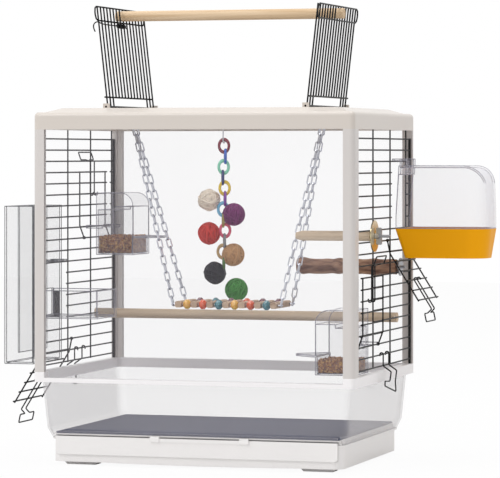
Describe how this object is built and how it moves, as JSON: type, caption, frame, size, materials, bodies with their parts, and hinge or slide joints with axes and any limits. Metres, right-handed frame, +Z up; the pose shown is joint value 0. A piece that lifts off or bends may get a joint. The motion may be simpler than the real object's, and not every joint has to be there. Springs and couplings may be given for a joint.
{
  "type": "bird cage",
  "caption": "Small-bird cage with clear front and rear, wire sides with drop doors, pull-out tray, and roof gates that stand up as a play stand.",
  "frame": {"origin": "on the surface under the feet, below the middle of the outer box", "axes": "+Z up, +X to the right seen from the front, +Y to the rear; the drawer opens towards -Y"},
  "size_m": [0.658, 0.3368, 0.6468],
  "materials": {
    "cream_plastic": "satin",
    "milky_plastic": "satin",
    "clear_plastic": "clear, polished",
    "slate_liner": "matte",
    "black_wire": "satin",
    "pale_wood": "sanded",
    "brass_washer": "satin",
    "zinc_steel": "satin",
    "nickel_chain": "polished",
    "swing_wood": "sanded",
    "seed": "loose seed",
    "yellow_plastic": "gloss",
    "bead_yellow": "translucent",
    "bead_orange": "translucent",
    "bead_teal": "translucent",
    "bead_dark": "translucent",
    "white_vine": "woven vine",
    "purple_vine": "woven vine",
    "red_vine": "woven vine",
    "tan_vine": "woven vine",
    "black_vine": "woven vine",
    "green_vine": "woven vine"
  },
  "bodies": {
    "cage": {"base_rim": "cream_plastic", "base_tub": "clear_plastic", "corner_posts": "cream_plastic", "feet": "milky_plastic", "front_panel": "clear_plastic", "left_wire_panel": "black_wire", "long_perch": "pale_wood", "lower_right_feeder": "clear_plastic", "natural_perch": "pale_wood", "natural_perch_bolt": "zinc_steel", "natural_perch_washer": "zinc_steel", "plinth": "milky_plastic", "rear_panel": "clear_plastic", "right_wire_panel": "black_wire", "roof_frame": "cream_plastic", "roof_hooks": "nickel_chain", "seed_fill": "seed", "short_perch": "pale_wood", "short_perch_bolt": "zinc_steel", "short_perch_washer": "brass_washer", "upper_left_feeder": "clear_plastic"},
    "drawer": {"drawer_front": "milky_plastic", "drawer_window": "clear_plastic", "drawer_tray": "milky_plastic", "drawer_catches": "milky_plastic", "tray_liner": "slate_liner"},
    "upper_left_door": {"upper_left_door": "black_wire"},
    "upper_right_door": {"upper_right_door": "black_wire"},
    "lower_left_door": {"lower_left_door": "black_wire"},
    "lower_right_door": {"lower_right_door": "black_wire"},
    "upper_left_latch": {"upper_left_latch": "black_wire"},
    "upper_right_latch": {"upper_right_latch": "black_wire"},
    "lower_left_latch": {"lower_left_latch": "black_wire"},
    "lower_right_latch": {"lower_right_latch": "black_wire"},
    "right_base_latch": {"right_base_latch": "black_wire"},
    "left_base_latch": {"left_base_latch": "black_wire"},
    "roof_gate_left": {"roof_gate_left": "black_wire"},
    "roof_gate_right": {"roof_gate_right": "black_wire"},
    "top_perch": {"top_perch": "pale_wood"},
    "wing_nut": {"short_perch_wing_nut": "zinc_steel"},
    "bath": {"bath_base": "yellow_plastic", "bath_dome": "clear_plastic"},
    "hopper": {"hopper_box": "clear_plastic", "hopper_tray": "clear_plastic"},
    "swing": {"swing_wires": "nickel_chain", "swing_slats": "swing_wood", "swing_chains": "nickel_chain", "beads_yellow": "bead_yellow", "beads_orange": "bead_orange", "beads_teal": "bead_teal", "beads_dark": "bead_dark"},
    "toy": {"toy_links": "nickel_chain", "white_vine_ball": "white_vine", "purple_vine_ball": "purple_vine", "red_vine_ball": "red_vine", "tan_vine_ball": "tan_vine", "black_vine_ball": "black_vine", "green_vine_ball": "green_vine"}
  },
  "joints": [
    {"name": "drawer_slide", "type": "slide", "parent": "cage", "child": "drawer", "axis": [0, -1, 0], "range_m": [0, 0.25]},
    {"name": "upper_left_door_hinge", "type": "hinge", "parent": "cage", "child": "upper_left_door", "pos_m": [-0.268, 0.0827, 0.314], "axis": [0, 1, 0], "range_deg": [-148, 0]},
    {"name": "lower_right_door_hinge", "type": "hinge", "parent": "cage", "child": "lower_right_door", "pos_m": [0.19, -0.0799, 0.17], "axis": [0, 1, 0], "range_deg": [0, 148]},
    {"name": "upper_right_door_hinge", "type": "hinge", "parent": "cage", "child": "upper_right_door", "pos_m": [0.19, 0.0827, 0.314], "axis": [0, 1, 0], "range_deg": [-148, 0]},
    {"name": "lower_left_door_hinge", "type": "hinge", "parent": "cage", "child": "lower_left_door", "pos_m": [-0.268, -0.0799, 0.17], "axis": [0, 1, 0], "range_deg": [0, 148]},
    {"name": "upper_left_latch_hinge", "type": "hinge", "parent": "upper_left_door", "child": "upper_left_latch", "pos_m": [-0.273, 0.0827, 0.378], "axis": [0, 1, 0], "range_deg": [-38, 0]},
    {"name": "lower_right_latch_hinge", "type": "hinge", "parent": "lower_right_door", "child": "lower_right_latch", "pos_m": [0.195, -0.0799, 0.234], "axis": [0, 1, 0], "range_deg": [0, 38]},
    {"name": "upper_right_latch_hinge", "type": "hinge", "parent": "upper_right_door", "child": "upper_right_latch", "pos_m": [0.21968, 0.0827, 0.25707], "axis": [0, 1, 0], "range_deg": [0, 25]},
    {"name": "lower_left_latch_hinge", "type": "hinge", "parent": "lower_left_door", "child": "lower_left_latch", "pos_m": [-0.29768, -0.0799, 0.11307], "axis": [0, 1, 0], "range_deg": [-25, 0]},
    {"name": "right_base_latch_hinge", "type": "hinge", "parent": "cage", "child": "right_base_latch", "pos_m": [0.19, 0.01, 0.154], "axis": [0, 1, 0], "range_deg": [-70, 0]},
    {"name": "left_base_latch_hinge", "type": "hinge", "parent": "cage", "child": "left_base_latch", "pos_m": [-0.268, 0.01, 0.154], "axis": [0, 1, 0], "range_deg": [0, 12]},
    {"name": "roof_gate_left_hinge", "type": "hinge", "parent": "cage", "child": "roof_gate_left", "pos_m": [-0.1855, 0, 0.5034], "axis": [0, 1, 0], "range_deg": [0, 5]},
    {"name": "roof_gate_right_hinge", "type": "hinge", "parent": "cage", "child": "roof_gate_right", "pos_m": [0.1075, 0, 0.5034], "axis": [0, 1, 0], "range_deg": [-5, 0]},
    {"name": "top_perch_play", "type": "slide", "parent": "cage", "child": "top_perch", "axis": [1, 0, 0], "range_m": [-0.008, 0.008]},
    {"name": "wing_nut_turn", "type": "hinge", "parent": "cage", "child": "wing_nut", "pos_m": [0.196, -0.053, 0.322], "axis": [1, 0, 0], "continuous": true},
    {"name": "bath_pull", "type": "slide", "parent": "cage", "child": "bath", "axis": [0.866, 0, 0.5], "range_m": [0, 0.28]},
    {"name": "hopper_pull", "type": "slide", "parent": "cage", "child": "hopper", "axis": [-1, 0, 0], "range_m": [0, 0.45]},
    {"name": "swing_hang", "type": "hinge", "parent": "cage", "child": "swing", "pos_m": [-0.039, 0, 0.482], "axis": [1, 0, 0], "range_deg": [-8, 8]},
    {"name": "toy_hang", "type": "hinge", "parent": "cage", "child": "toy", "pos_m": [-0.075, 0.096, 0.478], "axis": [1, 0, 0], "range_deg": [-6, 6]}
  ],
  "couplings": [
    {"joint": "upper_right_door_hinge", "follows": "bath_pull", "rad_per_m": -9.225},
    {"joint": "lower_left_door_hinge", "follows": "hopper_pull", "rad_per_m": 5.74}
  ]
}
